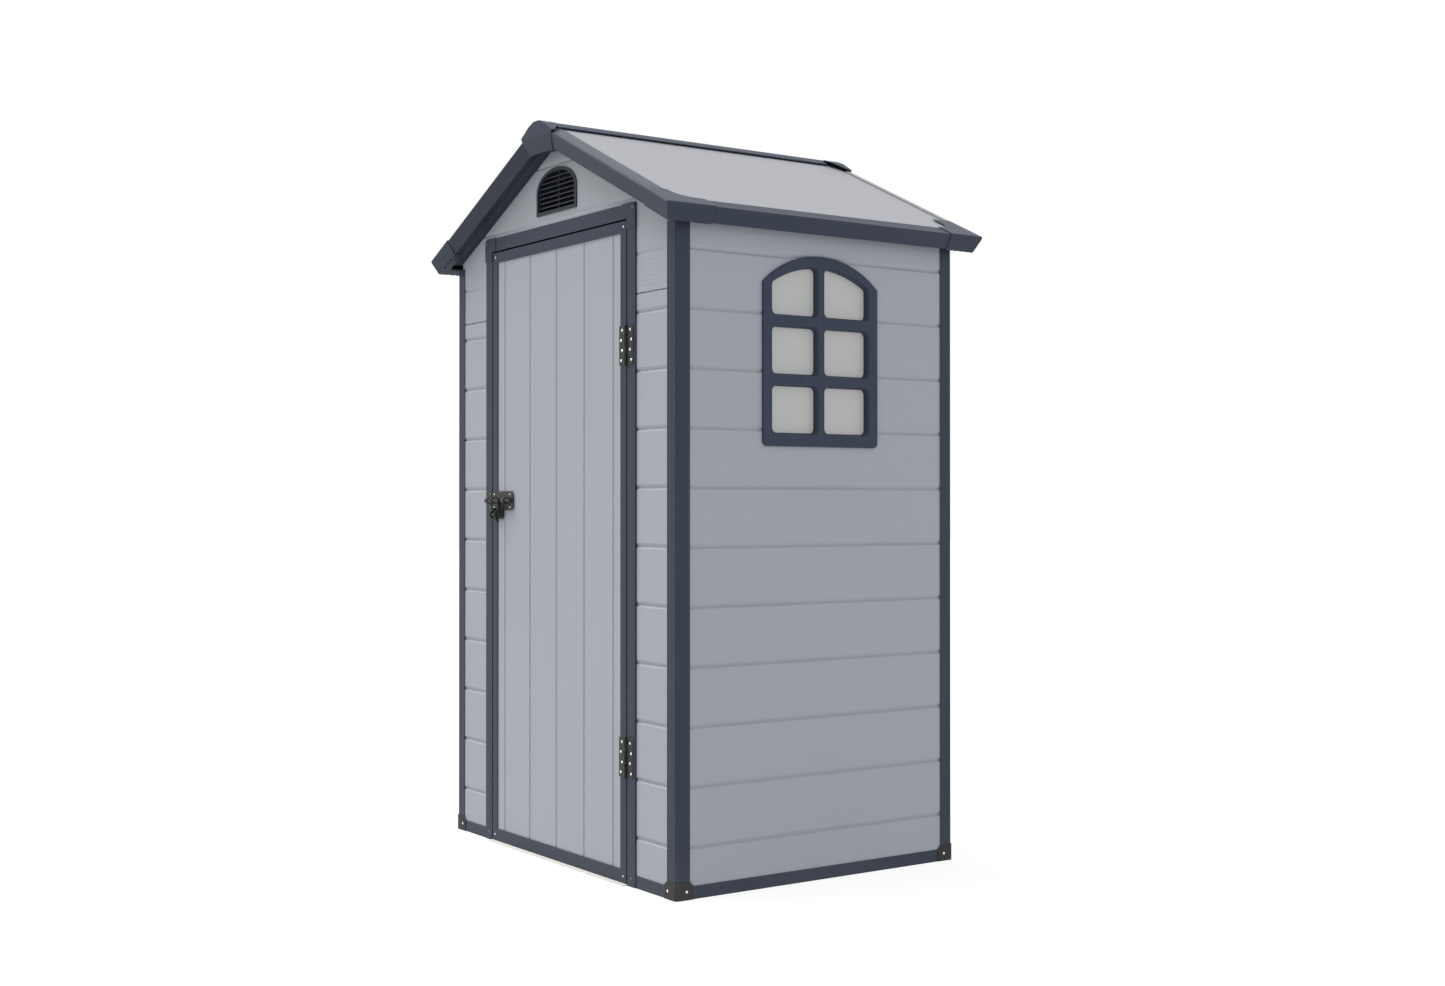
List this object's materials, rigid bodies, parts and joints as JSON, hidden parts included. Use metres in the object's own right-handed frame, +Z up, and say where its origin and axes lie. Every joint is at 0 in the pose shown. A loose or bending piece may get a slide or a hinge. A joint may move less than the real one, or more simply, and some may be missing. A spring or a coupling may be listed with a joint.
{
  "type": "plastic garden shed",
  "caption": "Small apex garden shed of grey plastic boards in dark trim, with one outward-opening door on butt hinges, a padlock bolt, an arched window and a gable vent",
  "frame": {"origin": "on the ground at the middle of the plan", "axes": "+X to the window side, +Y from the door to the back, +Z up"},
  "size_m": [1.3296, 1.0514, 2.0525],
  "materials": {
    "wall_grey": "fine-grained moulded plastic",
    "roof_grey": "smooth satin sheet",
    "trim_anthracite": "satin extruded plastic",
    "bracket_charcoal": "satin moulded plastic",
    "black_hardware": "dark zinc-plated and painted steel",
    "bright_screws": "bright zinc plate",
    "zinc_steel": "galvanised",
    "threshold_aluminium": "mill finish",
    "window_pane": "frosted light grey sheet"
  },
  "bodies": {
    "shed": {"corner_post_front_left": "trim_anthracite", "corner_post_front_right": "trim_anthracite", "corner_post_back_left": "trim_anthracite", "corner_post_back_right": "trim_anthracite", "base_brackets": "bracket_charcoal", "base_bracket_screws": "bright_screws", "base_rail_left": "trim_anthracite", "base_rail_right": "trim_anthracite", "base_rail_back": "trim_anthracite", "base_rails_front": "trim_anthracite", "left_wall_boards": "wall_grey", "right_wall_boards": "wall_grey", "back_wall_boards": "wall_grey", "front_wall_boards": "wall_grey", "front_gable_panel": "wall_grey", "back_gable_panel": "wall_grey", "gable_trims_front": "trim_anthracite", "gable_trims_back": "trim_anthracite", "wall_top_rails": "trim_anthracite", "roof_panel_right": "roof_grey", "roof_panel_left": "roof_grey", "roof_rim_back": "roof_grey", "eave_fascia_right": "trim_anthracite", "eave_fascia_left": "trim_anthracite", "barge_board_front_right": "trim_anthracite", "barge_board_front_left": "trim_anthracite", "barge_board_back_right": "trim_anthracite", "barge_board_back_left": "trim_anthracite", "eave_caps_front": "trim_anthracite", "eave_caps_back": "trim_anthracite", "ridge_cap": "trim_anthracite", "ridge_end_cap_front": "trim_anthracite", "ridge_end_cap_back": "trim_anthracite", "ridge_beam": "zinc_steel", "ridge_beam_brackets": "zinc_steel", "door_jamb_right": "trim_anthracite", "door_jamb_left": "trim_anthracite", "door_header": "trim_anthracite", "door_frame_corners": "trim_anthracite", "threshold_strip": "threshold_aluminium", "latch_keeper": "black_hardware", "hinge_jamb_leaves": "black_hardware", "hinge_pins": "black_hardware", "hinge_jamb_screws": "bright_screws", "door_frame_screws": "bright_screws", "window_frame_outer": "trim_anthracite", "window_frame_inner": "trim_anthracite", "window_pane": "window_pane", "vent_frame": "trim_anthracite", "vent_louvres": "trim_anthracite"},
    "door": {"door_boards": "wall_grey", "door_stile_hinge_side": "trim_anthracite", "door_stile_latch_side": "trim_anthracite", "door_rail_top": "trim_anthracite", "door_rail_bottom": "trim_anthracite", "hinge_door_leaves": "black_hardware", "hinge_door_screws": "bright_screws", "latch_plate": "black_hardware", "door_screws": "bright_screws"},
    "bolt": {"latch_bolt": "black_hardware"}
  },
  "joints": [
    {"name": "door_hinge", "type": "hinge", "parent": "shed", "child": "door", "pos_m": [0.37585, -0.468, 0], "axis": [0, 0, 1], "range_deg": [0, 150]},
    {"name": "latch_bolt_slide", "type": "slide", "parent": "door", "child": "bolt", "axis": [-1, 0, 0], "range_m": [0, 0.02]}
  ]
}
